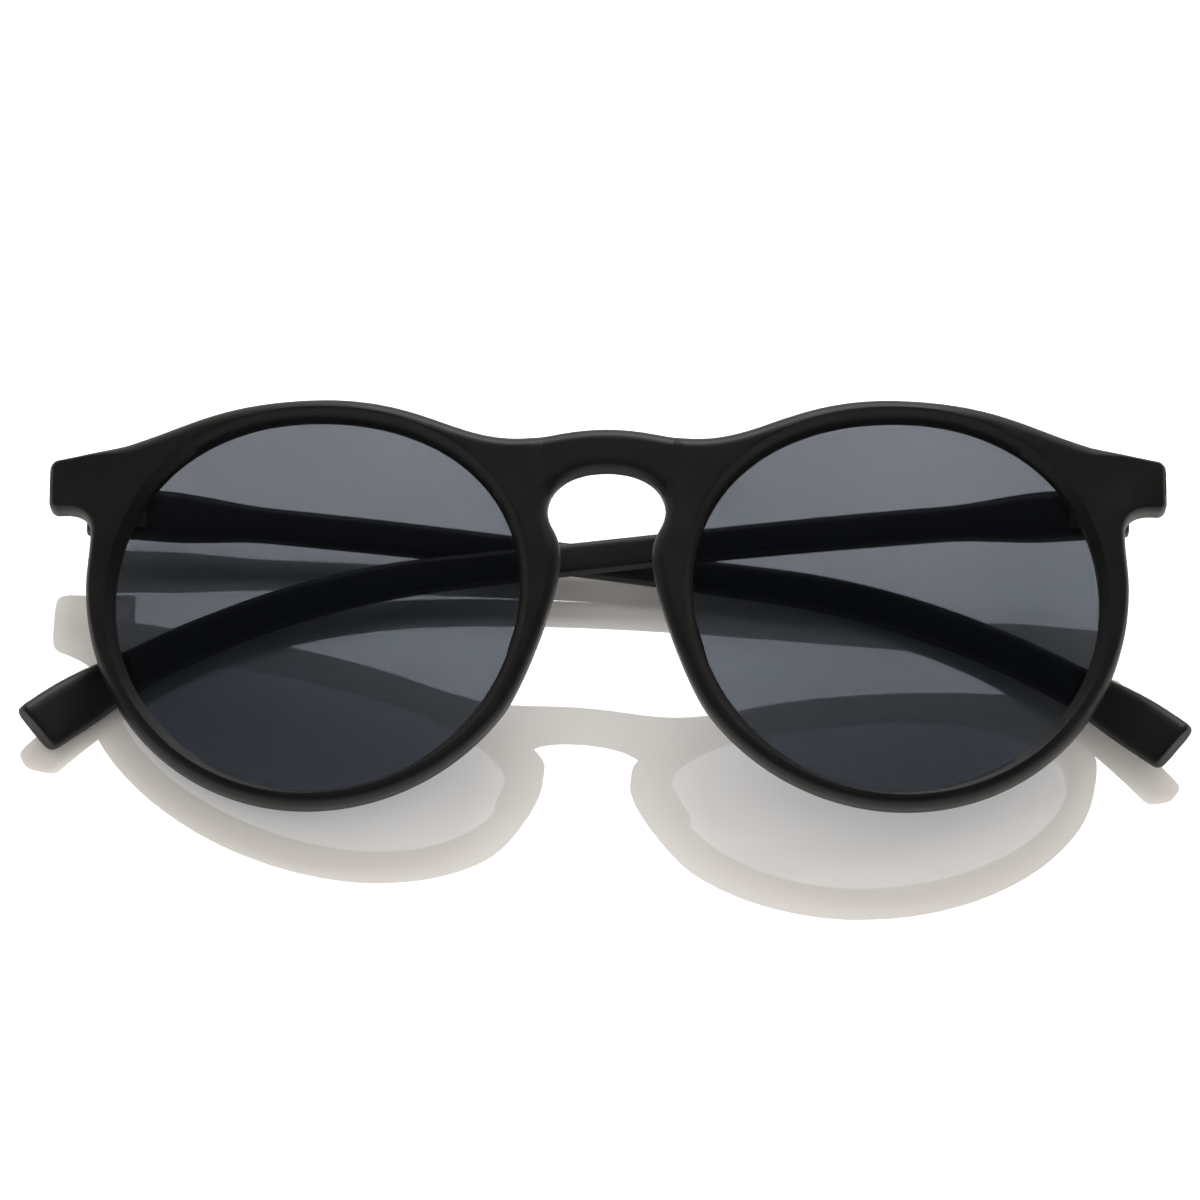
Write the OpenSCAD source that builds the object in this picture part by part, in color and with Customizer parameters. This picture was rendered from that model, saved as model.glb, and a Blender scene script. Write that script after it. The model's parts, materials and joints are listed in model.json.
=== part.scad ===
// Round sunglasses with a keyhole bridge, lying folded on a table with the front leaning back

/* [Lenses] */
// Width of the lens that shows in the rim
lens_w = 51; // [48:0.5:56]
// Height of the lens that shows in the rim
lens_h = 48; // [46:0.5:51]
// Gap between the two lenses at the nose
lens_gap = 21.5; // [21:0.1:22.5]
// Height of the lens halfway up, against the level that heights are measured from
lens_rise = 1.1; // [0.9:0.1:1.3]
// Thickness of a lens
lens_t = 1.6; // [1.4:0.1:1.7]
// Distance of a lens behind the front face
lens_set = 1.9; // [1.7:0.1:2]
// Depth of the groove in the rim that holds a lens
groove_d = 0.8; // [0.6:0.05:0.9]
// Clearance all round a lens in its groove
groove_play = 0.05; // [0.02:0.01:0.1]

/* [Front] */
// Thickness of the moulded front, from its front face to its rear face
front_t = 4; // [3.8:0.1:4.4]
// Radius that the front is curved to, seen from above
face_r = 250; // [230:5:320]
// Width of the rim on the temple side of a lens
rim_side_w = 3.75; // [3.5:0.05:4.5]
// Width of the rim below a lens
rim_low_w = 2.35; // [2.2:0.05:3]
// Width of the rim above a lens
brow_w = 2.4; // [2.2:0.05:3]
// Height of the brow over the crown of the bridge
crown_drop = 4.6; // [4:0.1:5]
// Height of the brow over the dip beside the bridge and over the corner of an end piece
dip_drop = 5.8; // [5.4:0.1:6.2]
// How far an end piece stands out beyond the rim
end_out = 5.1; // [4.6:0.1:6]
// Height of an end piece at its outer edge
end_h = 6.7; // [6.4:0.1:7.2]
// Radius of the outer corners of the end pieces
end_corner_r = 1.2; // [0.8:0.1:1.6]
// Width of the slope round each lens, from the front face in to the lens
slope_w = 1.05; // [0.8:0.05:1.2]
// Height of the bridge, from the top of the keyhole to its crown
bridge_h = 5.25; // [4.8:0.05:5.6]
// Width of the keyhole at its widest
key_w = 14.6; // [14.2:0.1:15]
// Height of the keyhole above the neck
key_h = 11.65; // [11:0.05:12]
// Width of the neck between the keyhole and the nose gap
neck_w = 11.4; // [11:0.1:12]
// Depth of the shallow facet on the front of the bridge
relief_d = 0.45; // [0.35:0.05:0.7]
// Thickness of each moulded nose pad
pad_t = 4.4; // [4:0.1:5]
// Length of each moulded nose pad along the side of the nose
pad_len = 9; // [8:0.5:11]
// How far the nose pads stand out behind the rear face
pad_out = 2.2; // [1.8:0.1:2.6]

/* [Temples] */
// Length of a temple along its middle, from the hinge pin to the tip
temple_len = 142.3; // [136:0.1:150]
// Slope of a temple at the hinge, in degrees down from level
root_slope = 3; // [2:0.5:3.5]
// Slope of a temple at the start of the ear bend, in degrees down from level
bend_slope = 7.3; // [6.5:0.1:8.5]
// Distance from the hinge pin to the start of the ear bend
bend_start = 86; // [82:1:90]
// Slope of the tip of a temple, in degrees down from level
tip_slope = 44.5; // [41:0.5:47]
// Distance from the hinge pin to where the temple starts to curve in towards the head
bow_start = 40; // [36:1:44]
// Gap between the folded temple in front and the rim that it passes behind
rim_gap = 0.3; // [0.3:0.05:1.5]
// Height of a temple at the hinge
temple_root_h = 6.4; // [6.1:0.1:6.8]
// Height of a temple at its slimmest
temple_slim_h = 4.1; // [3.8:0.1:4.5]
// Height of a temple at the ear bend
temple_bend_h = 4.9; // [4.6:0.1:5.3]
// Height of the flared tip of a temple
temple_tip_h = 7; // [6.6:0.1:7.4]
// Thickness of a temple at the hinge
temple_root_t = 3.8; // [3.6:0.1:4]
// Thickness of a temple at its slimmest
temple_slim_t = 2.4; // [2.3:0.1:2.5]
// Thickness of a temple at its tip
temple_tip_t = 3; // [2.8:0.1:3.2]

/* [Hinges] */
// Distance of each hinge pin inwards from the temple side of the rim
hinge_in = 1; // [0.7:0.1:1.4]
// Height of the middle of the hinges above the lower edge of an end piece
hinge_up = 3; // [2.9:0.1:3.2]
// Distance of the hinge pins behind the foremost point of the front
hinge_y = 17.5; // [17.4:0.1:18.2]
// Diameter of a hinge knuckle
knuckle_d = 2.6; // [2.4:0.1:2.8]
// Height of each of the three knuckles of a hinge
knuckle_h = 1.6; // [1.4:0.1:1.7]
// Gap between the knuckles of a hinge
knuckle_gap = 0.1; // [0.06:0.02:0.14]
// Thickness of the hinge plates
plate_t = 1; // [0.8:0.1:1.2]
// Length of the hinge plate on a temple
temple_plate_len = 7; // [6:0.5:8]
// Width of the hinge plate on the front
front_plate_w = 4.6; // [4:0.1:5]
// Diameter of a hinge screw
screw_d = 1.4; // [1.2:0.1:1.5]
// Diameter of the head of a hinge screw
screw_head_d = 2.3; // [2:0.1:2.4]
// Height of the head of a hinge screw
screw_head_h = 0.7; // [0.5:0.1:0.8]
// Clearance all round the screw in the knuckle that turns on it
screw_play = 0.03; // [0.02:0.01:0.05]
// Gap between a temple and the hinge knuckles beside it
temple_side_gap = 0.4; // [0.35:0.05:0.5]
// Gap between the end of an opened temple and the end piece
butt_gap = 0.35; // [0.35:0.05:0.5]

/* [Pose] */
// Angle that the temple in front stands off from the line of the front when folded
fold_front = 1.9; // [1.5:0.1:2.2]
// Angle that the temple behind stands off from the line of the front when folded
fold_rear = 5.3; // [5.3:0.1:6]
// Angle that the front leans back from upright on the table, resting on both tips and a temple
lean = 67; // [64:0.1:68]
// Angle that the front is turned about its own upright, because one temple lies over the other
twist = 3.9; // [2:0.1:5]

/* [Hidden] */

frame_color = [0.13, 0.13, 0.13];
lens_color = [0.30, 0.31, 0.35, 0.75];
metal_color = [0.72, 0.72, 0.70];

lens_x = (lens_w + lens_gap) / 2;
lens_edge = lens_x + lens_w / 2;
rim_reach = lens_edge + rim_side_w;
rim_low = lens_h / 2 - lens_rise + rim_low_w;
half_w = rim_reach + end_out;
brow_h = lens_rise + lens_h / 2 + brow_w;
crown_h = brow_h - crown_drop;
dip_h = brow_h - dip_drop;
end_top_h = dip_h;
end_low_h = end_top_h - end_h;
key_top_h = crown_h - bridge_h;
neck_h = key_top_h - key_h;
hinge_x = rim_reach - hinge_in;
hinge_h = end_low_h + hinge_up;

// More than the size of the whole front: cuts that go right through are this long
through = 2 * half_w;
curve_steps = 8;
long_steps = 12;
short_steps = 5;
arc_steps = 18;
face_sides = 720;
round_sides = 48;

// Depth of the front face behind its foremost point, at a distance x from the middle
function face_y(x) = face_r - sqrt(face_r * face_r - x * x);

function bezier(a, b, c, d, n = curve_steps) = [
    for (i = [0 : n - 1])
        let (t = i / n, u = 1 - t)
        u * u * u * a + 3 * u * u * t * b + 3 * u * t * t * c + t * t * t * d
];

// Widest and highest places of a lens: they lie off its middle by these amounts
wide_off = lens_h / 28;
top_off = lens_w / 30;
low_off = lens_w / 51;
lens_out = [lens_edge, lens_rise + wide_off];
lens_top = [lens_x + top_off, lens_rise + lens_h / 2];
lens_in = [lens_x - lens_w / 2, lens_rise + wide_off];
lens_low = [lens_x - low_off, lens_rise - lens_h / 2];

// Quarter of a lens outline, from a point at one side to a point at the top or bottom and back
function quarter(a, b, pull_a, pull_b) =
    bezier(a, [a[0], a[1] + pull_a * (b[1] - a[1])], [b[0] + pull_b * (a[0] - b[0]), b[1]], b, arc_steps);
function back_quarter(a, b, pull_a, pull_b) =
    bezier(a, [a[0] + pull_a * (b[0] - a[0]), a[1]], [b[0], b[1] + pull_b * (a[1] - b[1])], b, arc_steps);

full = 0.6;
round = 0.55;
lens_line = concat(
    quarter(lens_out, lens_top, full, full),
    back_quarter(lens_top, lens_in, full, full),
    quarter(lens_in, lens_low, round, round),
    back_quarter(lens_low, lens_out, round, round)
);

// Right-hand lens outline, grown outwards by an amount
function lens_outline(grow) = [
    for (i = [0 : len(lens_line) - 1])
        let (
            n = len(lens_line),
            d = lens_line[(i + 1) % n] - lens_line[(i + n - 1) % n]
        )
        lens_line[i] + grow / norm(d) * [d[1], -d[0]]
];

// Oval that the lower part of the rim follows
rim_off = [-0.25, 5];
rim_mid = [lens_x, 0] + rim_off;
rim_join = -142;
rim_steps = 24;
function rim_at(t) = rim_mid + [(rim_reach - rim_mid[0]) * cos(t), (rim_low + rim_mid[1]) * sin(t)];

// Outer edge of the right-hand half of the front, from the crown of the bridge round to the keyhole.
// Each pull is how far the handle of a curve lies from the end of that curve.
brow_off = 1.25;
brow_x = lens_x + brow_off;
dip_off = 0.25;
dip_x = lens_gap / 2 + dip_off;
end_run = 9.6;
end_rise = 1.15;
end_root = [half_w - end_run, end_top_h + end_rise];
end_x = half_w - end_corner_r;
corner_pull = end_corner_r / 2;
crown_pull = 5;
dip_pull_in = 3.5;
dip_pull_out = 8.5;
brow_pull_in = 14;
brow_pull_out = 12;
root_pull = [-8, 1.85];
fillet = 3.4;
fillet_pull = [2.4, 2.7];
side_in = 0.4;
rim_side = [rim_reach - side_in, end_low_h - fillet];
side_pull = 2;
rim_pull = [-2.3, 3.05];
key_x = key_w / 2;
neck_x = neck_w / 2;
neck_pull_low = [0.5, -5.8];
neck_pull_top = [-0.1, 1.8];
key_side_off = [-0.45, 4.3];
key_side = [key_x, neck_h] + key_side_off;
key_pull_low = [-0.6, -1.1];
key_pull_side = [1.5, 3.1];
key_flat = 6.55;
half_outline = concat(
    bezier([0, crown_h], [crown_pull, crown_h], [dip_x - dip_pull_in, dip_h], [dip_x, dip_h]),
    bezier(
        [dip_x, dip_h], [dip_x + dip_pull_out, dip_h],
        [brow_x - brow_pull_in, brow_h], [brow_x, brow_h], long_steps
    ),
    bezier([brow_x, brow_h], [brow_x + brow_pull_out, brow_h], end_root + root_pull, end_root, long_steps),
    [end_root],
    bezier(
        [end_x, end_top_h], [half_w - corner_pull, end_top_h],
        [half_w, end_top_h - corner_pull], [half_w, end_top_h - end_corner_r], short_steps
    ),
    bezier(
        [half_w, end_low_h + end_corner_r], [half_w, end_low_h + corner_pull],
        [half_w - corner_pull, end_low_h], [end_x, end_low_h], short_steps
    ),
    bezier([end_x, end_low_h], [end_x - fillet_pull[0], end_low_h], rim_side + [0, fillet_pull[1]], rim_side),
    bezier(rim_side, rim_side - [0, side_pull], rim_at(0) + [0, side_pull], rim_at(0), short_steps),
    [for (i = [0 : rim_steps - 1]) rim_at(rim_join * i / rim_steps)],
    bezier(rim_at(rim_join), rim_at(rim_join) + rim_pull, [neck_x, neck_h] + neck_pull_low, [neck_x, neck_h]),
    bezier(
        [neck_x, neck_h], [neck_x, neck_h] + neck_pull_top,
        key_side + key_pull_low, key_side, short_steps
    ),
    bezier(key_side, key_side + key_pull_side, [key_flat, key_top_h], [0, key_top_h], long_steps)
);
key_top = [[0, key_top_h]];

function flip_x(points) = [for (i = [len(points) - 1 : -1 : 1]) [-points[i][0], points[i][1]]];

front_outline = concat(half_outline, key_top, flip_x(half_outline));

// Flat back of each end piece, which the opened temple meets
knuckle_stand = 0.8;
butt_back = knuckle_d / 2 + knuckle_stand;
butt_y = hinge_y - butt_back;
butt_in = 4.3;
butt_inner = hinge_x - butt_in;
butt_up = 0.5;
butt_low = end_low_h + butt_up;
butt_size = 2 * end_out + end_corner_r;

// Temple: distance of its inner face and of its middle line from the pin
inner_x = knuckle_d / 2 + temple_side_gap;
mid_x = inner_x + temple_root_t / 2;
ring_sides = 16;
ring_count = 46;
radian = 180 / PI;
sag_r = bend_start / (bend_slope - root_slope) * radian;
bend_r = (temple_len - bend_start) / (tip_slope - bend_slope) * radian;
root_s = -(butt_back - butt_gap);

// Stations along a temple: distance from the pin, height, thickness
slim_from = 0.155 * temple_len;
slim_to = 0.464 * temple_len;
bend_full = 0.787 * temple_len;
slim_extra_h = 0.3;
slim_extra_t = 0.6;
bend_extra_h = 0.3;
bend_extra_t = 0.2;
flare_len = 17.3;
tip_flat = 4.3;
stations = [
    [root_s, temple_root_h, temple_root_t],
    [temple_plate_len + plate_t, temple_root_h, temple_root_t],
    [slim_from, temple_slim_h + slim_extra_h, temple_slim_t + slim_extra_t],
    [slim_to, temple_slim_h, temple_slim_t],
    [bend_full, temple_bend_h, temple_slim_t + bend_extra_t],
    [temple_len - flare_len, temple_bend_h + bend_extra_h, temple_tip_t],
    [temple_len - tip_flat, temple_tip_h, temple_tip_t],
    [temple_len, temple_tip_h, temple_tip_t]
];

function ease(t) = t * t * (3 - 2 * t);
function station_at(s, k, i = 0) =
    i >= len(stations) - 2 || s < stations[i + 1][0]
        ? let (a = stations[i], b = stations[i + 1])
          a[k] + (b[k] - a[k]) * ease(max(0, min(1, (s - a[0]) / (b[0] - a[0]))))
        : station_at(s, k, i + 1);

// Slope, place and inward curve of the middle line of a temple
function slope_at(s) =
    s < bend_start
        ? root_slope + s / sag_r * radian
        : bend_slope + (s - bend_start) / bend_r * radian;
function along_at(s) =
    s < bend_start
        ? sag_r * (sin(slope_at(s)) - sin(root_slope))
        : sag_r * (sin(bend_slope) - sin(root_slope)) + bend_r * (sin(slope_at(s)) - sin(bend_slope));
function drop_at(s) =
    s < bend_start
        ? sag_r * (cos(root_slope) - cos(slope_at(s)))
        : sag_r * (cos(root_slope) - cos(bend_slope)) + bend_r * (cos(bend_slope) - cos(slope_at(s)));

// Inward curve of a temple: it starts softly and clears the far rim where the folded temple crosses it
bow_power = 3.5;
cross_past = 1;
cross_s = hinge_x + rim_reach + cross_past;
cross_bow = hinge_y + inner_x + cross_s * sin(fold_front) - face_y(rim_reach) - front_t - rim_gap;
function bow_past(s) = max(0, s - bow_start) / (cross_s - bow_start);
function bow_at(s) = cross_bow * pow(bow_past(s), bow_power);
function bow_turn(s) = atan(bow_power * cross_bow * pow(bow_past(s), bow_power - 1) / (cross_s - bow_start));

// One ring of points round a temple, a rounded oblong across its middle line
flat_side = 0.55;
flat_edge = 0.45;
function ring(s, shrink) = [
    for (i = [0 : ring_sides - 1])
        let (
            a = 360 * (i + 0.5) / ring_sides,
            w = station_at(s, 2) / 2 * shrink,
            h = station_at(s, 1) / 2 * shrink,
            u = w * sign(cos(a)) * pow(abs(cos(a)), flat_side),
            v = h * sign(sin(a)) * pow(abs(sin(a)), flat_edge),
            b = bow_turn(s)
        )
        [
            mid_x - bow_at(s) + u * cos(b) - v * sin(slope_at(s)) * sin(b),
            along_at(s) + u * sin(b) + v * sin(slope_at(s)) * cos(b),
            -drop_at(s) + v * cos(slope_at(s))
        ]
];

// Both ends of a temple are rounded by smaller rings
root_round = 0.6;
tip_round = 2;
body_len = temple_len - tip_round - root_s - root_round;
temple_rings = concat(
    [ring(root_s, 0.86), ring(root_s + root_round / 3, 0.95)],
    [for (i = [0 : ring_count]) ring(root_s + root_round + body_len * i / ring_count, 1)],
    [ring(temple_len - tip_round / 2, 0.985), ring(temple_len - tip_round / 4, 0.92), ring(temple_len, 0.78)]
);

// Points of the worn glasses carried to where they lie on the table, before the final shift
function turn_z(p, a) = [p[0] * cos(a) - p[1] * sin(a), p[0] * sin(a) + p[1] * cos(a), p[2]];
function turn_x(p, a) = [p[0], p[1] * cos(a) - p[2] * sin(a), p[1] * sin(a) + p[2] * cos(a)];
function laid(p) = turn_x(turn_z(p, -twist), -lean);
function fold_point(p, side, stand_off) =
    let (q = turn_z(p, 90 - stand_off) + [hinge_x, hinge_y, hinge_h])
    laid([side * q[0], q[1], q[2]]);
temple_points = [for (r = temple_rings) each r];
laid_points = concat(
    [for (p = temple_points) fold_point(p, 1, fold_front)],
    [for (p = temple_points) fold_point(p, -1, fold_rear)],
    [for (p = front_outline) laid([p[0], face_y(p[0]), p[1]])]
);
laid_x = [for (p = laid_points) p[0]];
laid_y = [for (p = laid_points) p[1]];
laid_z = [for (p = laid_points) p[2]];
// Shift that brings the middle of the lowest plane to the origin
rest_shift = [-(min(laid_x) + max(laid_x)) / 2, -(min(laid_y) + max(laid_y)) / 2, -min(laid_z)];

// Places a piece that is drawn with the pin at the origin, seen from above with the temple open
module at_pin(side) {
    scale_x = side == "left" ? 0 : 1;
    mirror([scale_x, 0, 0]) translate([hinge_x, hinge_y, hinge_h]) children();
}

// Turns a piece of a temple from open to folded
module folded(side) {
    stand_off = side == "left" ? fold_front : fold_rear;
    at_pin(side) rotate([0, 0, 90 - stand_off]) children();
}

// Lays the worn glasses on the table: their lowest points rest on the plane at height zero
module on_table() {
    translate(rest_shift) rotate([-lean, 0, 0]) rotate([0, 0, -twist]) children();
}

module both_sides() {
    children();
    mirror([1, 0, 0]) children();
}

// Upright prism along the depth of the front, from an outline in width and height
module prism(points, y0, y1) {
    translate([0, y1, 0]) rotate([90, 0, 0]) linear_extrude(y1 - y0) polygon(points);
}

// Solid drum that the curve of the front follows, a depth inside its front face
module drum(depth, extra = 0) {
    h = through + extra;
    translate([0, face_r, -h]) cylinder(h = 2 * h, r = face_r - depth, $fn = face_sides);
}

// Upright curved sheet that follows the front, between two depths behind its front face
module sheet(y0, y1) {
    difference() {
        drum(y0);
        drum(y1, front_t);
    }
}

// Right-hand lens shape, grown at its edge and on both faces
module lens_blank(grow, play) {
    intersection() {
        prism(lens_outline(grow), -front_t, through);
        sheet(lens_set - play, lens_set + lens_t + play);
    }
}

// Space in front of and behind a lens, with the narrow steps that slope in to it from the front face
slope_steps = 2;
module opening() {
    prism(lens_outline(0), -front_t, through);
    for (k = [1 : slope_steps])
        intersection() {
            prism(lens_outline(slope_w * k / (slope_steps + 1)), -front_t, through);
            sheet(-front_t / 2, lens_set * (slope_steps + 1 - k) / (slope_steps + 1));
        }
}

module lens() {
    color(lens_color) lens_blank(groove_d, 0);
}

// Nose pads: outwards of the neck and below it, leaning like the sides of a nose
pad_side = 4.9;
pad_x = neck_x + pad_side;
pad_drop = 9.6;
pad_h = neck_h - pad_drop;
pad_lean = 16;

module nose_pad() {
    r = pad_t / 2;
    half = pad_len / 2 - r;
    translate([pad_x, front_t + pad_out - r, pad_h])
        rotate([0, -pad_lean, 0]) {
            translate([0, 0, -half]) cylinder(h = 2 * half, r = r, $fn = round_sides);
            translate([0, 0, half]) sphere(r, $fn = round_sides);
            translate([0, 0, -half]) sphere(r, $fn = round_sides);
        }
}

// Facet on the bridge: half width and height at its upper and lower ends
facet_top_off = [3.7, 7.1];
facet_low_off = [0.7, 2];
facet_top = [neck_x, crown_h] + facet_top_off;
facet_low = [neck_x, neck_h] + facet_low_off;
facet = [[-facet_top[0], facet_top[1]], facet_top, facet_low, [-facet_low[0], facet_low[1]]];

module front_frame() {
    color(frame_color)
        difference() {
            union() {
                intersection() {
                    prism(front_outline, -front_t, through);
                    union() {
                        sheet(0, front_t);
                        both_sides()
                            intersection() {
                                translate([butt_inner, front_t, butt_low])
                                    cube([butt_size, butt_y - front_t, butt_size]);
                                drum(0);
                            }
                    }
                }
                both_sides() nose_pad();
            }
            both_sides() opening();
            both_sides() lens_blank(groove_d + groove_play, groove_play);
            prism(facet, -front_t, relief_d);
            both_sides() front_plate_space();
        }
}

plate_z = 3 * knuckle_h + 2 * knuckle_gap;

module front_plate_space() {
    translate([hinge_x - front_plate_w + knuckle_d / 2, butt_y - plate_t, hinge_h - plate_z / 2])
        cube([front_plate_w, 2 * plate_t, plate_z]);
}

// Knuckle with its neck, reaching back to a plate at -reach along the depth
module knuckle(z, reach, bore_d) {
    translate([0, 0, z])
        difference() {
            union() {
                cylinder(h = knuckle_h, d = knuckle_d, $fn = round_sides);
                translate([-knuckle_d / 2, -reach, 0]) cube([knuckle_d, reach, knuckle_h]);
            }
            translate([0, 0, -knuckle_h]) cylinder(h = 3 * knuckle_h, d = bore_d, $fn = round_sides);
        }
}

module front_hinge() {
    color(metal_color) {
        translate([knuckle_d / 2 - front_plate_w, -butt_back - plate_t, -plate_z / 2])
            cube([front_plate_w, plate_t, plate_z]);
        knuckle(-plate_z / 2, butt_back, screw_d);
        knuckle(plate_z / 2 - knuckle_h, butt_back, screw_d);
    }
}

module temple_hinge() {
    color(metal_color) {
        translate([inner_x, -knuckle_d / 2, -plate_z / 2])
            cube([plate_t, temple_plate_len, plate_z]);
        rotate([0, 0, 90]) knuckle(-knuckle_h / 2, inner_x, screw_d + 2 * screw_play);
    }
}

module hinge_screw() {
    color(metal_color) {
        translate([0, 0, -plate_z / 2]) cylinder(h = plate_z, d = screw_d, $fn = round_sides);
        translate([0, 0, plate_z / 2]) cylinder(h = screw_head_h, d = screw_head_d, $fn = round_sides);
    }
}

module temple() {
    last = len(temple_rings) - 1;
    n = ring_sides;
    sides = [
        for (k = [0 : last - 1], i = [0 : n - 1])
            let (j = (i + 1) % n)
            [k * n + i, k * n + j, (k + 1) * n + j, (k + 1) * n + i]
    ];
    ends = [[for (i = [n - 1 : -1 : 0]) i], [for (i = [0 : n - 1]) last * n + i]];
    color(frame_color)
        difference() {
            polyhedron(temple_points, concat(sides, ends), convexity = 4);
            translate([inner_x - plate_t, -knuckle_d / 2, -plate_z / 2])
                cube([2 * plate_t, temple_plate_len, plate_z]);
        }
}

on_table() front_frame();
on_table() lens();  // lens_left
on_table() mirror([1, 0, 0]) lens();  // lens_right
on_table() folded("left") temple();  // temple_left
on_table() folded("right") temple();  // temple_right
on_table() at_pin("left") front_hinge();  // front_hinge_left
on_table() at_pin("right") front_hinge();  // front_hinge_right
on_table() folded("left") temple_hinge();  // temple_hinge_left
on_table() folded("right") temple_hinge();  // temple_hinge_right
on_table() at_pin("left") hinge_screw();  // hinge_screw_left
on_table() at_pin("right") hinge_screw();  // hinge_screw_right
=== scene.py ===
import json
from math import atan, cos, hypot, radians, sin, sqrt

import bmesh
import bpy
from mathutils import Matrix, Vector


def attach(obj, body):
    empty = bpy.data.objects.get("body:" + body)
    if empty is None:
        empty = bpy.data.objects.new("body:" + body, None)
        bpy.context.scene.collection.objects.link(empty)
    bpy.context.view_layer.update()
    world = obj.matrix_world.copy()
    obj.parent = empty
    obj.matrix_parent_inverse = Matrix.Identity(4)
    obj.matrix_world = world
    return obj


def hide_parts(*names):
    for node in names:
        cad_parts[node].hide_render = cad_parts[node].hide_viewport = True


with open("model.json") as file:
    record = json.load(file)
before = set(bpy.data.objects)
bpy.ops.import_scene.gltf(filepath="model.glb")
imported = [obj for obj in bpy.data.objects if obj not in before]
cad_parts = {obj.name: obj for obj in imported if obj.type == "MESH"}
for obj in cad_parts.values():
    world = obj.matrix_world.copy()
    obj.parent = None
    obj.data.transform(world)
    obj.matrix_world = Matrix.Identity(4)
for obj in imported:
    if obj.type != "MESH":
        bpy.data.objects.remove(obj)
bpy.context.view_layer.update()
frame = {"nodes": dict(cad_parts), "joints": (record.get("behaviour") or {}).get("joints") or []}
print("Sunglasses: CAD frame loaded")

mm = 0.001

# Where the glasses lie
# Pieces are shaped as if the glasses were worn: X to the wearer's left, Y backwards from the
# front, Z up, in millimetres from the level of the lenses. The two hinge pins of the packed
# model then say where that lies on the table.
hinges = {"x": 64.5, "y": 17.5, "z": 18.0, "openedPast": 2.0}

joints = {j["name"]: j for j in frame["joints"]}
leftPin = Vector(joints["left_temple_hinge"]["pos_m"])
rightPin = Vector(joints["right_temple_hinge"]["pos_m"])
upWay = Vector(joints["left_temple_hinge"]["axis"]).normalized()
leftWay = (leftPin - rightPin).normalized()
backWay = upWay.cross(leftWay)
turned = Matrix((leftWay, backWay, upWay)).transposed().to_4x4()
middlePin = turned @ (Vector((0, hinges["y"], hinges["z"])) * mm)
laid = Matrix.Translation((leftPin + rightPin) / 2 - middlePin) @ turned @ Matrix.Scale(mm, 4)


def foldedAngle(name):
    # How far a folded temple stands off from the line of the front
    low, high = joints[name]["range_deg"]
    return 90 + hinges["openedPast"] - max(abs(low), abs(high))


# Helpers
def linear(hexColour):
    # An sRGB hex colour as the linear one that the shaders use
    values = [int(hexColour[i : i + 2], 16) / 255 for i in (1, 3, 5)]
    return tuple(v / 12.92 if v <= 0.04045 else ((v + 0.055) / 1.055) ** 2.4 for v in values) + (1,)


def curve(a, b, c, d, steps):
    # Points of a bezier stretch in width and height, without its last point
    points = []
    for i in range(steps):
        t = i / steps
        u = 1 - t
        points.append(
            tuple(
                u * u * u * a[k] + 3 * u * u * t * b[k] + 3 * u * t * t * c[k] + t * t * t * d[k]
                for k in (0, 1)
            )
        )
    return points


def ease(t):
    t = min(1, max(0, t))
    return t * t * (3 - 2 * t)


def grown(points, amount):
    # A closed outline moved outwards (or inwards, if amount is below 0) by that many millimetres
    out = []
    count = len(points)
    for i, (x, z) in enumerate(points):
        x0, z0 = points[i - 1]
        x1, z1 = points[(i + 1) % count]
        dx, dz = x1 - x0, z1 - z0
        size = hypot(dx, dz)
        out.append((x + amount * dz / size, z - amount * dx / size))
    return out


def newMesh(name, bm, material, body, stands=()):
    # Lays a worn-frame bmesh on the table and makes it a piece that rides on a body
    bmesh.ops.transform(bm, matrix=laid, verts=bm.verts)
    mesh = bpy.data.meshes.new(name)
    bm.to_mesh(mesh)
    bm.free()
    piece = bpy.data.objects.new(name, mesh)
    bpy.context.scene.collection.objects.link(piece)
    mesh.materials.append(material)
    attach(piece, body)
    if stands:
        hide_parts(*stands)
    weighted = piece.modifiers.new("weightedNormals", "WEIGHTED_NORMAL")
    weighted.keep_sharp = True
    return piece


def markEdges(bm, angle):
    # Smooth faces that keep the edges sharper than this angle
    for face in bm.faces:
        face.smooth = True
    for edge in bm.edges:
        edge.smooth = edge.calc_face_angle(0) < radians(angle)


def loopOf(bm, points, depth):
    verts = [bm.verts.new((x, depth, z)) for x, z in points]
    return [bm.edges.new((verts[i], verts[(i + 1) % len(verts)])) for i in range(len(verts))]


def drawOut(bm, edges, rows):
    # Extrudes a closed loop through further outlines, one row of points and a depth at a time
    first = [e.verts[0] for e in edges]
    for points, depth in rows:
        made = bmesh.ops.extrude_edge_only(bm, edges=edges)["geom"]
        fresh = {v for v in made if isinstance(v, bmesh.types.BMVert)}
        following = []
        for vert, (x, z) in zip(first, points):
            near = (edge.other_vert(vert) for edge in vert.link_edges)
            partner = next(v for v in near if v in fresh)
            partner.co = (x, depth, z)
            following.append(partner)
        first = following
        edges = [bm.edges.get((first[i], first[(i + 1) % len(first)])) for i in range(len(first))]
    return edges


# Materials
def node(tree, kind, settings=None, links=None):
    # Adds a node, sets its properties and sockets, and links its inputs from other outputs
    made = tree.nodes.new(kind)
    for key, value in (settings or {}).items():
        if isinstance(key, int) or key in made.inputs:
            made.inputs[key].default_value = value
        else:
            setattr(made, key, value)
    for key, source in (links or {}).items():
        tree.links.new(source, made.inputs[key])
    return made


def mixColours(tree, first, second, share):
    # The colour between two hex colours at a share that another node works out
    mix = node(tree, "ShaderNodeMix", {"data_type": "RGBA"}, {0: share})
    mix.inputs[6].default_value = linear(first)
    mix.inputs[7].default_value = linear(second)
    return mix.outputs[2]


def newMaterial(name):
    material = bpy.data.materials.new(name)
    material.use_nodes = True
    material.node_tree.nodes.clear()
    return material, material.node_tree


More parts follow.
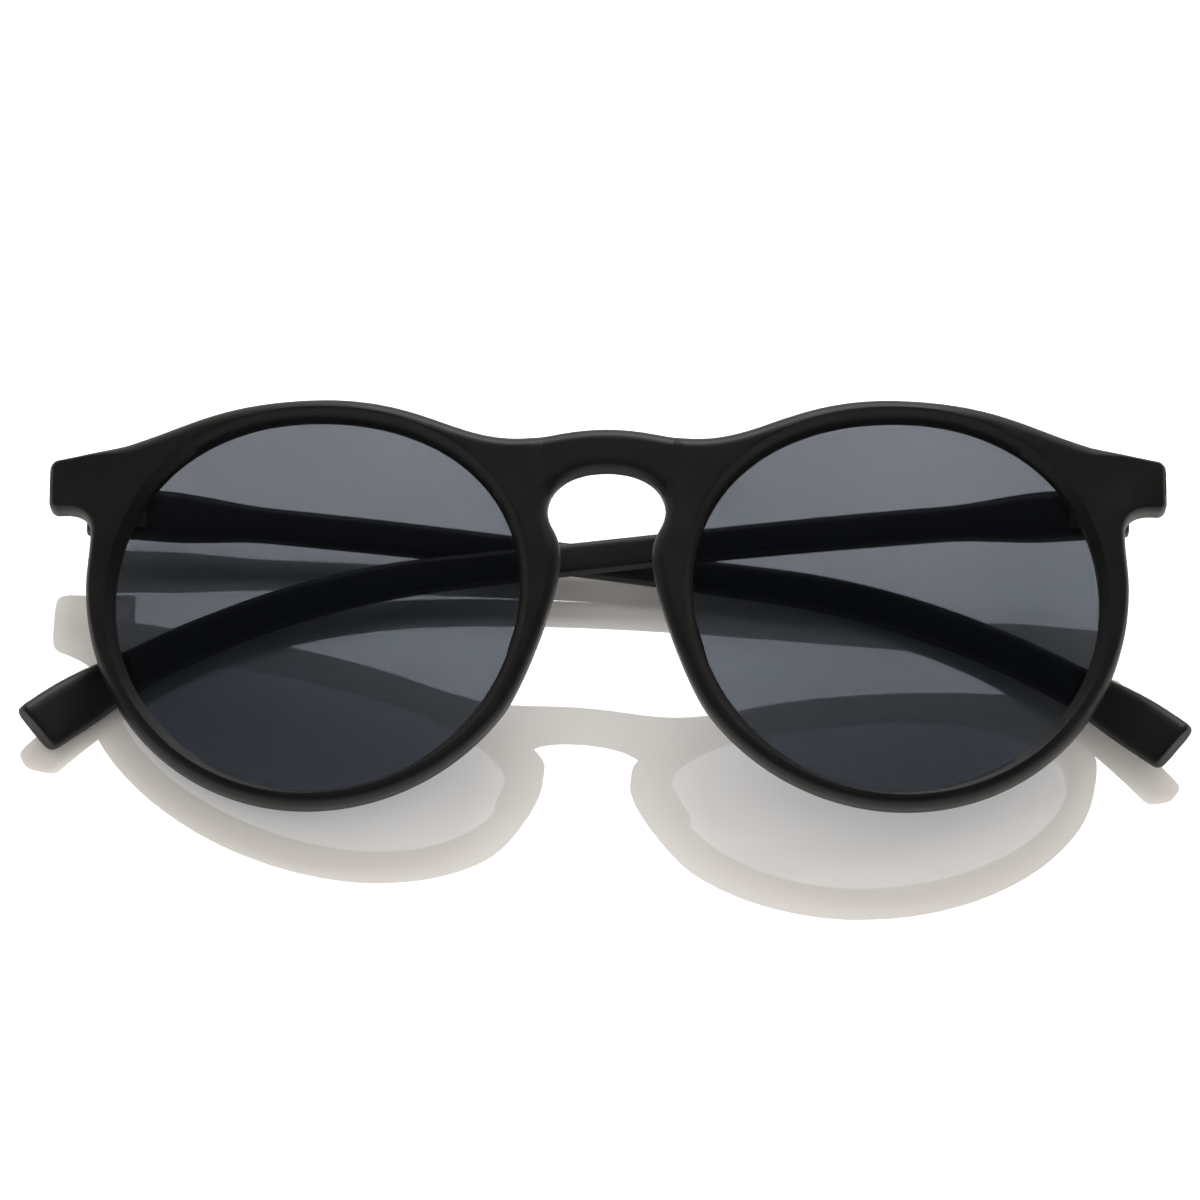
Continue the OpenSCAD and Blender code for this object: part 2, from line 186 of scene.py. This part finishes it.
# Injection-moulded nylon, satin from a fine spark-eroded mould: broad soft highlights that the
# grain breaks up slightly, and a few paler scuffs where hands rub it.
frameFinish = {
    "colour": "#0b0b0c",
    "worn": "#131314",
    "roughLow": 0.4,
    "roughHigh": 0.5,
    "grain": 0.25,  # mm, coarser than the real grain so that it shows
    "grainDepth": 0.012,  # mm
    "bump": 0.35,
    "patches": 9,  # mm between smoother and rougher patches
    "ior": 1.45,
}


def mouldedNylon():
    f = frameFinish
    material, tree = newMaterial("mouldedNylonSatinBlack")
    place = node(tree, "ShaderNodeTexCoord")
    grain = node(
        tree, "ShaderNodeTexNoise", {"Scale": 1 / (f["grain"] * mm), "Detail": 3, "Roughness": 0.6},
        {"Vector": place.outputs["Object"]},
    )
    patches = node(
        tree, "ShaderNodeTexNoise",
        {"Scale": 1 / (f["patches"] * mm), "Detail": 5, "Roughness": 0.65},
        {"Vector": place.outputs["Object"]},
    )
    rough = node(
        tree, "ShaderNodeMapRange",
        {"From Min": 0.3, "From Max": 0.7, "To Min": f["roughLow"], "To Max": f["roughHigh"]},
        {"Value": patches.outputs["Fac"]},
    )
    worn = node(
        tree, "ShaderNodeMapRange", {"From Min": 0.55, "From Max": 0.8},
        {"Value": patches.outputs["Fac"]},
    )
    tint = mixColours(tree, f["colour"], f["worn"], worn.outputs["Result"])
    bump = node(
        tree, "ShaderNodeBump", {"Strength": f["bump"], "Distance": f["grainDepth"] * mm},
        {"Height": grain.outputs["Fac"]},
    )
    shader = node(
        tree, "ShaderNodeBsdfPrincipled", {"IOR": f["ior"]},
        {
            "Base Color": tint, "Roughness": rough.outputs["Result"],
            "Normal": bump.outputs["Normal"],
        },
    )
    node(tree, "ShaderNodeOutputMaterial", None, {"Surface": shader.outputs["BSDF"]})
    return material


# Polycarbonate, smoke tinted in the melt and hard coated: it lets about a tenth of the light
# through, a little more of the blue, and its hard coat mirrors bright things faintly.
lensFinish = {
    "tint": "#070f1c",
    "veil": 0.72,  # how much each face of a lens holds back
    "veilChange": 0.012,
    "cloud": 30,  # mm between fuller and thinner tint
    "hazeLow": 0.03,
    "hazeHigh": 0.05,
    "ior": 1.01,  # almost none, so that what lies behind isn't shown twice
    "coatIor": 2.0,
}


def smokePolycarbonate():
    f = lensFinish
    material, tree = newMaterial("smokePolycarbonate")
    place = node(tree, "ShaderNodeTexCoord")
    cloud = node(
        tree, "ShaderNodeTexNoise", {"Scale": 1 / (f["cloud"] * mm), "Detail": 2},
        {"Vector": place.outputs["Object"]},
    )
    veil = node(
        tree, "ShaderNodeMapRange",
        {
            "From Min": 0.3, "From Max": 0.7,
            "To Min": f["veil"] - f["veilChange"], "To Max": f["veil"] + f["veilChange"],
        },
        {"Value": cloud.outputs["Fac"]},
    )
    haze = node(
        tree, "ShaderNodeMapRange",
        {"From Min": 0.3, "From Max": 0.7, "To Min": f["hazeLow"], "To Max": f["hazeHigh"]},
        {"Value": cloud.outputs["Fac"]},
    )
    shader = node(
        tree, "ShaderNodeBsdfPrincipled",
        {
            "Base Color": linear(f["tint"]), "IOR": f["ior"], "Transmission Weight": 1.0,
            "Coat Weight": 1.0, "Coat IOR": f["coatIor"], "Coat Roughness": f["hazeLow"],
        },
        {"Roughness": haze.outputs["Result"], "Alpha": veil.outputs["Result"]},
    )
    node(tree, "ShaderNodeOutputMaterial", None, {"Surface": shader.outputs["BSDF"]})
    return material


# Nickel-plated steel, tumbled after stamping: a pale warm metal with fine random scratches.
metalFinish = {
    "colour": "#c9c6bf",
    "dull": "#8f8c86",
    "scratch": 0.12,  # mm
    "patches": 1.5,  # mm
    "roughLow": 0.22,
    "roughHigh": 0.4,
    "bump": 0.2,
    "scratchDepth": 0.01,  # mm
}


def nickelledSteel():
    f = metalFinish
    material, tree = newMaterial("nickelledSteel")
    place = node(tree, "ShaderNodeTexCoord")
    scratch = node(
        tree, "ShaderNodeTexNoise", {"Scale": 1 / (f["scratch"] * mm), "Detail": 4},
        {"Vector": place.outputs["Object"]},
    )
    patches = node(
        tree, "ShaderNodeTexNoise", {"Scale": 1 / (f["patches"] * mm), "Detail": 3},
        {"Vector": place.outputs["Object"]},
    )
    tint = mixColours(tree, f["colour"], f["dull"], patches.outputs["Fac"])
    rough = node(
        tree, "ShaderNodeMapRange",
        {"From Min": 0.3, "From Max": 0.7, "To Min": f["roughLow"], "To Max": f["roughHigh"]},
        {"Value": scratch.outputs["Fac"]},
    )
    bump = node(
        tree, "ShaderNodeBump", {"Strength": f["bump"], "Distance": f["scratchDepth"] * mm},
        {"Height": scratch.outputs["Fac"]},
    )
    shader = node(
        tree, "ShaderNodeBsdfPrincipled", {"Metallic": 1.0},
        {
            "Base Color": tint, "Roughness": rough.outputs["Result"],
            "Normal": bump.outputs["Normal"],
        },
    )
    node(tree, "ShaderNodeOutputMaterial", None, {"Surface": shader.outputs["BSDF"]})
    return material


nylon = mouldedNylon()
smoke = smokePolycarbonate()
nickel = nickelledSteel()
print("Sunglasses: materials made")

# Lens and front outlines
lensSize = {
    "width": 51.0, "height": 48.0, "gap": 21.5, "rise": 1.1, "thickness": 1.6, "behind": 1.9,
    "wideOff": 1.7, "topOff": 1.7, "lowOff": 1.0, "full": 0.6, "round": 0.55,
    "edge": 0.7,  # how far the rim's groove holds the lens
    "bevel": 0.2, "steps": 40, "strip": 1.5,
}


def lensLine():
    # Outline of the lens at +X, from its outer edge over the top
    s = lensSize
    n = s["steps"]
    x = (s["width"] + s["gap"]) / 2
    out = (x + s["width"] / 2, s["rise"] + s["wideOff"])
    top = (x + s["topOff"], s["rise"] + s["height"] / 2)
    inn = (x - s["width"] / 2, s["rise"] + s["wideOff"])
    low = (x - s["lowOff"], s["rise"] - s["height"] / 2)

    def quarter(a, b, pull):
        leaving = (a[0], a[1] + pull * (b[1] - a[1]))
        return curve(a, leaving, (b[0] + pull * (a[0] - b[0]), b[1]), b, n)

    def backQuarter(a, b, pull):
        leaving = (a[0] + pull * (b[0] - a[0]), a[1])
        return curve(a, leaving, (b[0], b[1] + pull * (a[1] - b[1])), b, n)

    return (
        quarter(out, top, s["full"]) + backQuarter(top, inn, s["full"])
        + quarter(inn, low, s["round"]) + backQuarter(low, out, s["round"])
    )


frontSize = {
    "width": 141.2, "thickness": 4.0, "faceRadius": 250.0, "crown": 22.9, "dip": 21.7, "brow": 27.5,
    "endTop": 21.7, "endLow": 15.0, "corner": 1.2, "reach": 65.5, "low": 25.25,
    "keyTop": 17.65, "keyWidth": 14.6, "neckWidth": 11.4, "neckHeight": 6.0,
    "frontRound": 1.5, "endRoundFrom": 60.0, "endSharper": 0.6, "backRound": 0.5,
    "slope": 1.05, "slopeRound": 0.2, "strip": 2.0, "bendReach": 74,
    "facetTop": (9.4, 30.0), "facetLow": (6.4, 8.0), "facetDepth": 0.45, "facetStep": 1.3,
    "padX": 10.35, "padZ": -3.6, "padLean": 16.0,
    "padThickness": 3.0, "padLength": 9.0, "padOut": 2.2,
    "blockFrom": 10.5, "blockRound": 0.5,
}


def faceDepth(x):
    r = frontSize["faceRadius"]
    return r - sqrt(r * r - x * x)


def frontLine():
    # Outer edge of the whole front, from the crown round by +X and back
    s = frontSize
    half, c, h = s["width"] / 2, s["corner"], s["corner"] / 2
    endX, top, low = half - c, s["endTop"], s["endLow"]
    side = (s["reach"] - 0.4, low - 3.4)
    rimX, rimZ = 36.0, 5.0

    def rim(t):
        a = radians(t)
        return (rimX + (s["reach"] - rimX) * cos(a), rimZ + (s["low"] + rimZ) * sin(a))

    join, rimSteps = -142, 72
    a, b = rim(0), rim(join)
    neck, key = s["neckWidth"] / 2, s["keyWidth"] / 2
    keySide = (6.85, 10.3)
    points = curve((0, s["crown"]), (5, s["crown"]), (7.5, s["dip"]), (11, s["dip"]), 16)
    points += curve((11, s["dip"]), (19.5, s["dip"]), (23.5, s["brow"]), (37.5, s["brow"]), 36)
    points += curve((37.5, s["brow"]), (49.5, s["brow"]), (53, top + 3), (61, top + 1.15), 32)
    points += curve((61, top + 1.15), (63.5, top + 0.8), (66, top + 0.35), (endX, top), 8)
    points += curve((endX, top), (half - h, top), (half, top - h), (half, top - c), 8)
    points += curve((half, top - c), (half, top - 2.5), (half, low + 2.5), (half, low + c), 4)
    points += curve((half, low + c), (half, low + h), (half - h, low), (endX, low), 8)
    points += curve((endX, low), (endX - 2.4, low), (side[0], side[1] + 2.7), side, 16)
    points += curve(side, (side[0], side[1] - 2), (a[0], a[1] + 2), a, 8)
    points += [rim(join * i / rimSteps) for i in range(rimSteps)]
    points += curve(b, (b[0] - 2.3, b[1] + 3.05), (neck + 0.5, 0.2), (neck, s["neckHeight"]), 22)
    points += curve(
        (neck, s["neckHeight"]), (neck - 0.1, s["neckHeight"] + 1.8),
        (keySide[0] - 0.6, keySide[1] - 1.1), keySide, 10,
    )
    points += curve(keySide, (key + 1.05, 13.4), (key - 0.75, s["keyTop"]), (0, s["keyTop"]), 24)
    points.append((0, s["keyTop"]))
    back = [(-x, z) for x, z in reversed(points[1:-1])]
    return points + back


def bend(bm, spacing):
    # Cuts a flat piece into narrow upright strips and curves it round the face
    reach = frontSize["bendReach"]
    steps = int(2 * reach / spacing)
    for i in range(steps + 1):
        bmesh.ops.bisect_plane(
            bm, geom=bm.verts[:] + bm.edges[:] + bm.faces[:], dist=1e-4,
            plane_co=(-reach + i * spacing + 0.011, 0, 0), plane_no=(1, 0, 0),
        )
    for vert in bm.verts:
        vert.co.y += faceDepth(vert.co.x)


def roundRows(line, radius, start, end, steps=6):
    # Rows of an outline that rounds over from a wall to a flat face at depth end
    sign = 1 if end > start else -1
    rows = []
    for i in range(1, steps + 1):
        a = radians(90 * i / steps)
        rows.append((grown(line, -radius * (1 - cos(a))), start + sign * radius * sin(a)))
    return rows


def buildFront():
    s = frontSize
    t = s["thickness"]
    bm = bmesh.new()
    outer = frontLine()[::-1]
    lens = lensLine()

    def rounded(a):
        # The edge is rounded off less on the end pieces than round the rims
        inner = grown(outer, -s["frontRound"] * (1 - sin(a)))
        line = []
        for (x, z), (innerX, innerZ) in zip(outer, inner):
            share = 1 - s["endSharper"] * ease((abs(x) - s["endRoundFrom"]) / 6)
            line.append((x + share * (innerX - x), z + share * (innerZ - z)))
        return line

    wall = loopOf(bm, rounded(0), 0.0)
    rows = []
    for i in range(1, 7):
        a = radians(90 * i / 6)
        rows.append((rounded(a), s["frontRound"] * (1 - cos(a))))
    rows += [(outer, t / 2), (outer, t - s["backRound"])]
    rows += roundRows(outer, s["backRound"], t - s["backRound"], t, 4)
    frontEdges = list(wall)
    backEdges = list(drawOut(bm, wall, rows))
    for side in (1, -1):
        line = lens if side == 1 else [(-x, z) for x, z in reversed(lens)]
        w, r = s["slope"], s["slopeRound"]
        wall = loopOf(bm, grown(line, w + r), 0.0)
        frontEdges += wall
        rows = [(grown(line, w + 0.35 * r), 0.25 * r), (grown(line, w), r)]
        rows += [(grown(line, w * 0.5), lensSize["behind"] / 2), (line, lensSize["behind"] - 0.1)]
        rows += [(line, t - 0.25), (grown(line, 0.07), t - 0.07), (grown(line, 0.25), t)]
        backEdges += drawOut(bm, wall, rows)
    for edges in (frontEdges, backEdges):
        bmesh.ops.triangle_fill(bm, use_beauty=True, use_dissolve=False, edges=edges)
    bmesh.ops.recalc_face_normals(bm, faces=bm.faces)
    # Facet on the bridge: two cuts down each side, then the middle is set back
    (tx, tz), (lx, lz) = s["facetTop"], s["facetLow"]
    for side in (1, -1):
        for off in (0, s["facetStep"]):
            bmesh.ops.bisect_plane(
                bm, geom=bm.verts[:] + bm.edges[:] + bm.faces[:], dist=1e-4,
                plane_co=(side * (tx + off), 0, tz), plane_no=(side * (tz - lz), 0, -(tx - lx)),
            )
    for vert in bm.verts:
        x, y, z = vert.co
        if y < t * 0.45 and z > s["neckHeight"]:
            edge = lx + (tx - lx) * (z - lz) / (tz - lz)
            inside = min(1, max(0, (edge + s["facetStep"] - abs(x)) / s["facetStep"]))
            inside *= ease((z - s["neckHeight"]) / 5)
            vert.co.y += s["facetDepth"] * inside * (1 - y / (t * 0.5)) ** 0.5
    bend(bm, s["strip"])
    bmesh.ops.remove_doubles(bm, verts=bm.verts, dist=0.002)
    return bm


def addNosePad(bm, side):
    s = frontSize
    r = s["padThickness"] / 2
    half = s["padLength"] / 2 - r
    made = bmesh.ops.create_uvsphere(bm, u_segments=32, v_segments=20, radius=r)["verts"]
    for vert in made:
        vert.co.z += half if vert.co.z > 0.001 else (-half if vert.co.z < -0.001 else 0)
    place = Matrix.Translation((side * s["padX"], s["thickness"] + s["padOut"] - r, s["padZ"]))
    lean = Matrix.Rotation(radians(-side * s["padLean"]), 4, "Y")
    bmesh.ops.transform(bm, matrix=place @ lean, verts=made)


def addEndBlock(bm, side):
    # The thick part behind an end piece, which holds the hinge
    s = frontSize
    top, low, half = s["endTop"], s["endLow"] + 0.5, s["width"] / 2
    line = [
        (60.2, low), (half - 1.2, low), (half - 0.3, low + 0.8), (half - 0.1, low + 2),
        (half - 0.1, top - 1.8), (half - 0.5, top - 0.7), (half - 1.6, top - 0.1),
        (61, top + 0.9), (60.2, top + 1),
    ]
    line = [(side * x, z) for x, z in line]
    verts = [bm.verts.new((x, s["blockFrom"], z)) for x, z in line]
    face = bm.faces.new(verts)
    made = bmesh.ops.extrude_face_region(bm, geom=[face])["geom"]
    back = [v for v in made if isinstance(v, bmesh.types.BMVert)]
    for vert in back:
        vert.co.y = hinges["y"] - 2.1
    edges = {e for v in back for e in v.link_edges if all(w in back for w in e.verts)}
    bmesh.ops.bevel(
        bm, geom=list(edges), offset=s["blockRound"], segments=4, profile=0.5, affect="EDGES",
        material=-1,
    )


front = buildFront()
for side in (1, -1):
    addNosePad(front, side)
    addEndBlock(front, side)
bmesh.ops.recalc_face_normals(front, faces=front.faces)
markEdges(front, 34)
newMesh("frontFrame", front, nylon, "front", ["front_frame"])
print("Sunglasses: front shaped")


# Lenses
def buildLens(side):
    s = lensSize
    bm = bmesh.new()
    line = lensLine()
    if side == -1:
        line = [(-x, z) for x, z in reversed(line)]
    start, end, bevel = s["behind"], s["behind"] + s["thickness"], s["bevel"]
    small, full = grown(line, s["edge"] - bevel), grown(line, s["edge"])
    front = loopOf(bm, small, start)
    rows = [(full, start + bevel), (full, end - bevel), (small, end)]
    back = drawOut(bm, front, rows)
    for edges in (front, back):
        bmesh.ops.triangle_fill(bm, use_beauty=True, use_dissolve=False, edges=edges)
    bend(bm, s["strip"])
    bmesh.ops.recalc_face_normals(bm, faces=bm.faces)
    markEdges(bm, 30)
    return bm


for side, name in ((1, "Left"), (-1, "Right")):
    newMesh("lens" + name, buildLens(side), smoke, "front", ["lens_" + name.lower()])
print("Sunglasses: lenses shaped")

# Temples
templeSize = {
    "length": 142.3, "rootSlope": 3.0, "bendSlope": 7.3, "bendStart": 86.0, "tipSlope": 44.5,
    "bowStart": 40.0, "bowPower": 3.5, "bowIn": 10.51, "bowAt": 131.0,
    "inner": 1.7, "rootStart": -1.75, "roundAcross": 0.55, "roundUp": 0.45,
    # distance from the pin, height and thickness
    "stations": [
        (-1.75, 6.4, 3.8), (8, 6.4, 3.8), (22, 4.4, 3.0), (66, 4.1, 2.4),
        (112, 4.9, 2.6), (125, 5.2, 3.0), (138, 7.0, 3.0), (142.3, 7.0, 3.0),
    ],
    "sides": 32, "step": 2.0,
}


def templeAt(s):
    # Slope, distance along, drop, inward curve and its turn, height and thickness at a station
    p = templeSize
    sag = p["bendStart"] / radians(p["bendSlope"] - p["rootSlope"])
    turn = (p["length"] - p["bendStart"]) / radians(p["tipSlope"] - p["bendSlope"])
    root, bendAt = radians(p["rootSlope"]), radians(p["bendSlope"])
    if s < p["bendStart"]:
        slope = root + s / sag
        along, drop = sag * (sin(slope) - sin(root)), sag * (cos(root) - cos(slope))
    else:
        slope = bendAt + (s - p["bendStart"]) / turn
        along = sag * (sin(bendAt) - sin(root)) + turn * (sin(slope) - sin(bendAt))
        drop = sag * (cos(root) - cos(bendAt)) + turn * (cos(bendAt) - cos(slope))
    span = p["bowAt"] - p["bowStart"]
    past = max(0, s - p["bowStart"]) / span
    bow = p["bowIn"] * past ** p["bowPower"]
    bowTurn = atan(p["bowPower"] * p["bowIn"] * past ** (p["bowPower"] - 1) / span)
    table = p["stations"]
    k = max(i for i in range(len(table) - 1) if i == 0 or s >= table[i][0])
    a, b = table[k], table[k + 1]
    share = ease((s - a[0]) / (b[0] - a[0]))
    height, thick = (a[k] + (b[k] - a[k]) * share for k in (1, 2))
    return slope, along, drop, bow, bowTurn, height, thick


def addRing(bm, s, shrink):
    # One closed section of a temple: a circle drawn out into a rounded oblong
    slope, along, drop, bow, bowTurn, height, thick = templeAt(s)
    middle = templeSize["inner"] + templeSize["stations"][0][2] / 2
    made = bmesh.ops.create_circle(bm, segments=templeSize["sides"], radius=1.0)["verts"]
    for vert in made:
        c, q = vert.co.x, vert.co.y
        u = thick / 2 * shrink * (abs(c) ** templeSize["roundAcross"]) * (1 if c > 0 else -1)
        v = height / 2 * shrink * (abs(q) ** templeSize["roundUp"]) * (1 if q > 0 else -1)
        vert.co = (
            middle - bow + u * cos(bowTurn) - v * sin(slope) * sin(bowTurn),
            along + u * sin(bowTurn) + v * sin(slope) * cos(bowTurn),
            -drop + v * cos(slope),
        )
    return list({e for v in made for e in v.link_edges})


def buildTemple(side, joint):
    p = templeSize
    bm = bmesh.new()
    # Distance from the pin and share of the full section, with both ends rounded off
    start = p["rootStart"]
    stops = [(start, 0.84), (start + 0.08, 0.92), (start + 0.25, 0.975)]
    s = start + 0.6
    while s < p["length"] - 2:
        stops.append((s, 1.0))
        s += p["step"]
    end = p["length"]
    stops += [(end - 1.1, 1.0), (end - 0.6, 0.985), (end - 0.25, 0.95)]
    stops += [(end - 0.07, 0.88), (end, 0.78)]
    loops = [addRing(bm, s, shrink) for s, shrink in stops]
    bmesh.ops.bridge_loops(bm, edges=[e for loop in loops for e in loop])
    for loop in (loops[0], loops[-1]):
        face = bmesh.ops.contextual_create(bm, geom=loop)["faces"]
        bmesh.ops.inset_region(bm, faces=face, thickness=0.35)
    turn = Matrix.Rotation(radians(90 - foldedAngle(joint)), 4, "Z")
    place = Matrix.Translation((hinges["x"], hinges["y"], hinges["z"])) @ turn
    if side == -1:
        place = Matrix.Scale(-1, 4, (1, 0, 0)) @ place
    bmesh.ops.transform(bm, matrix=place, verts=bm.verts)
    bmesh.ops.recalc_face_normals(bm, faces=bm.faces)
    markEdges(bm, 50)
    return bm


for side, name in ((1, "left"), (-1, "right")):
    shape = buildTemple(side, name + "_temple_hinge")
    body, stands = name + "_temple", ["temple_" + name]
    newMesh("temple" + name.title(), shape, nylon, body, stands)
print("Sunglasses: temples shaped")

# Hinges
for name, cadNode in frame["nodes"].items():
    if "hinge" in name:
        cadNode.data.materials.clear()
        cadNode.data.materials.append(nickel)
print("Sunglasses: hinges finished")

# Table, light and camera
studio = {
    "table": "#fbfbfb",
    "tableIor": 2.2,
    "tableRough": 0.02,
    "sheetFrom": 0.11,  # metres from the middle where the glossy sheet starts to fade into white
    "sheetTo": 0.22,
    # Painted glow: the share of white emission mixed into the table where it is seen at a low
    # angle, which also lightens the shadow there
    "lowAngleGlow": 0.75,  # share of white where the table is seen at a low angle
    "back": {"from": (0.055, 0.64, 0.79), "size": (0.62, 0.5), "power": 5.2},
    "front": {"from": (-0.06, -0.62, 0.98), "size": (0.55, 0.55), "power": 0.5},
    "skyWarm": "#fff8ee",
    "skySeen": "#ffffff",
    "skyLight": 0.8,
    "overhead": 0.11,  # what reflections show of the ceiling
    "ahead": 0.06,  # and of the room in front of the glasses
}


def smoothRange(tree, value, start, end, low=0.0, high=1.0):
    # A smooth change from low to high as the value goes from start to end
    return node(
        tree, "ShaderNodeMapRange",
        {
            "interpolation_type": "SMOOTHSTEP", "From Min": start, "From Max": end,
            "To Min": low, "To Max": high,
        },
        {"Value": value},
    )


def buildFloor():
    bm = bmesh.new()
    bmesh.ops.create_grid(bm, x_segments=4, y_segments=4, size=3)
    mesh = bpy.data.meshes.new("table")
    bm.to_mesh(mesh)
    bm.free()
    floor = bpy.data.objects.new("table", mesh)
    bpy.context.scene.collection.objects.link(floor)
    # Glossy white acrylic, which mirrors the glasses faintly and fades into the white room
    material, tree = newMaterial("whiteAcrylicTable")
    place = node(tree, "ShaderNodeTexCoord")
    away = node(
        tree, "ShaderNodeVectorMath", {"operation": "LENGTH"}, {"Vector": place.outputs["Object"]}
    )
    fade = smoothRange(tree, away.outputs["Value"], studio["sheetFrom"], studio["sheetTo"])
    sheet = node(
        tree, "ShaderNodeBsdfPrincipled",
        {
            "Base Color": linear(studio["table"]), "Roughness": studio["tableRough"],
            "IOR": studio["tableIor"],
        },
    )
    white = node(tree, "ShaderNodeEmission", {"Strength": 1.0})
    # Seen at a low angle, the sheet is mixed towards white emission as well, a painted glow that
    # lightens the table and washes out the glasses' shadow on it
    facing = node(tree, "ShaderNodeLayerWeight", {"Blend": 0.5})
    low = node(
        tree, "ShaderNodeMapRange",
        {"From Min": 0.3, "From Max": 0.75, "To Max": studio["lowAngleGlow"]},
        {"Value": facing.outputs["Facing"]},
    )
    share = node(
        tree, "ShaderNodeMath", {"operation": "MAXIMUM"},
        {0: fade.outputs["Result"], 1: low.outputs["Result"]},
    )
    both = node(
        tree, "ShaderNodeMixShader", None,
        {0: share.outputs["Value"], 1: sheet.outputs["BSDF"], 2: white.outputs["Emission"]},
    )
    node(tree, "ShaderNodeOutputMaterial", None, {"Surface": both.outputs["Shader"]})
    mesh.materials.append(material)


def addLamp(name, settings):
    light = bpy.data.lights.new(name, "AREA")
    light.shape = "RECTANGLE"
    light.size, light.size_y = settings["size"]
    light.energy = settings["power"]
    lamp = bpy.data.objects.new(name, light)
    bpy.context.scene.collection.objects.link(lamp)
    lamp.location = settings["from"]
    lamp.rotation_euler = (-Vector(settings["from"])).to_track_quat("-Z", "Y").to_euler()


def buildWorld():
    # White to the camera and through the lenses, in reflections white low at the back and dark
    # overhead and ahead, and elsewhere a faint warm light
    world = bpy.data.worlds.new("studio")
    bpy.context.scene.world = world
    world.use_nodes = True
    tree = world.node_tree
    tree.nodes.clear()
    path = node(tree, "ShaderNodeLightPath")
    way = node(tree, "ShaderNodeTexCoord")
    part = node(tree, "ShaderNodeSeparateXYZ", None, {"Vector": way.outputs["Object"]})
    ceiling = smoothRange(tree, part.outputs["Z"], 0.4, 0.75, 1.0, studio["overhead"])
    rear = smoothRange(tree, part.outputs["Y"], -0.2, 0.4, studio["ahead"])
    mirrored = node(
        tree, "ShaderNodeMath", {"operation": "MULTIPLY"},
        {0: ceiling.outputs["Result"], 1: rear.outputs["Result"]},
    )
    level = node(
        tree, "ShaderNodeMapRange", {"To Min": studio["skyLight"]},
        {"Value": path.outputs["Is Glossy Ray"], "To Max": mirrored.outputs["Value"]},
    )
    direct = node(
        tree, "ShaderNodeMath", {"operation": "MAXIMUM"},
        {0: path.outputs["Is Camera Ray"], 1: path.outputs["Is Transmission Ray"]},
    )
    seen = node(
        tree, "ShaderNodeMapRange", {"To Max": 1.0},
        {"Value": direct.outputs["Value"], "To Min": level.outputs["Result"]},
    )
    shade = mixColours(tree, studio["skyWarm"], studio["skySeen"], direct.outputs["Value"])
    sky = node(
        tree, "ShaderNodeBackground", None, {"Color": shade, "Strength": seen.outputs["Result"]}
    )
    node(tree, "ShaderNodeOutputWorld", None, {"Surface": sky.outputs["Background"]})


buildFloor()
addLamp("backLamp", studio["back"])
addLamp("frontLamp", studio["front"])
buildWorld()

# The camera looks at the worn glasses from below square, which is from above the table
cameraSet = {
    "aim": (-0.785, 3.0, 1.135), "aside": -0.687, "below": 16.0, "roll": 0.278,
    "distance": 750.0, "focal": 181.05, "sensor": 36.0,
}


def addCamera():
    c = cameraSet
    a, e, r = radians(c["aside"]), radians(c["below"]), radians(c["roll"])
    ahead = Vector((sin(a) * cos(e), cos(a) * cos(e), sin(e)))
    right = Vector((cos(a), -sin(a), 0))
    up = right.cross(ahead)
    right, up = cos(r) * right + sin(r) * up, cos(r) * up - sin(r) * right
    place = Vector(c["aim"]) - c["distance"] * ahead
    rotation = Matrix((right, up, -ahead)).transposed().to_4x4()
    data = bpy.data.cameras.new("camera")
    data.lens, data.sensor_width = c["focal"], c["sensor"]
    data.clip_start, data.clip_end = 0.01, 20
    camera = bpy.data.objects.new("camera", data)
    bpy.context.scene.collection.objects.link(camera)
    camera.matrix_world = Matrix.Translation(laid @ place) @ turned @ rotation
    bpy.context.scene.camera = camera


addCamera()
bpy.context.scene.view_settings.view_transform = "Standard"
print("Sunglasses: studio set")
